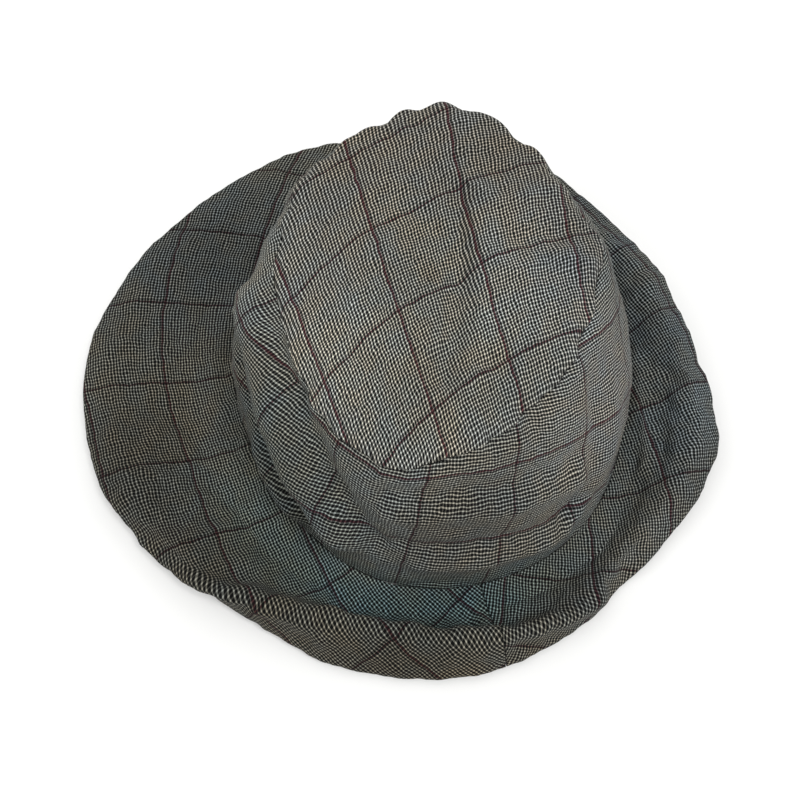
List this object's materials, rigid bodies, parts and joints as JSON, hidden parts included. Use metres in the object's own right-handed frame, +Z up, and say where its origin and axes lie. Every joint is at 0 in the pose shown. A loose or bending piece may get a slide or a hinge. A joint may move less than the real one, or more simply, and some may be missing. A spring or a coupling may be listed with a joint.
{
  "type": "bucket hat",
  "caption": "Soft checked-linen bucket hat with a flat oval tip, one-piece side band, wide lined brim, lining and sweatband, lying slumped on its brim.",
  "frame": {"origin": "middle of the hat's outline, on the surface that the brim lies on", "axes": "+Z up out of the crown, -Y towards the front of the hat, +X towards the wearer's left"},
  "size_m": [0.292, 0.297, 0.0912],
  "materials": {
    "check_cloth": "soft matte linen, dark and cream micro check with thin burgundy windowpane lines",
    "brim_cloth": "soft matte linen, the same check, darker, with faded teal and olive drifts",
    "interfacing": "matte non-woven stiffener",
    "lining": "smooth plain weave, slight sheen",
    "sweatband": "matte cotton twill tape",
    "size_tab": "satin-woven blank tab",
    "thread": "spun polyester thread"
  },
  "bodies": {
    "root": {"crown_tip": "check_cloth", "side_band": "check_cloth", "brim_upper_left": "brim_cloth", "brim_upper_right": "brim_cloth", "brim_under_left": "brim_cloth", "brim_under_right": "brim_cloth", "interfacing_left": "interfacing", "interfacing_right": "interfacing", "tip_lining": "lining", "side_lining": "lining", "sweatband": "sweatband", "size_tab": "size_tab", "tip_seam_thread": "thread", "brim_seam_thread": "thread", "brim_edge_thread": "thread", "lining_seam_thread": "thread", "sweatband_thread": "thread", "front_seam_thread": "thread", "back_seam_thread": "thread", "band_seam_thread": "thread"}
  },
  "joints": []
}
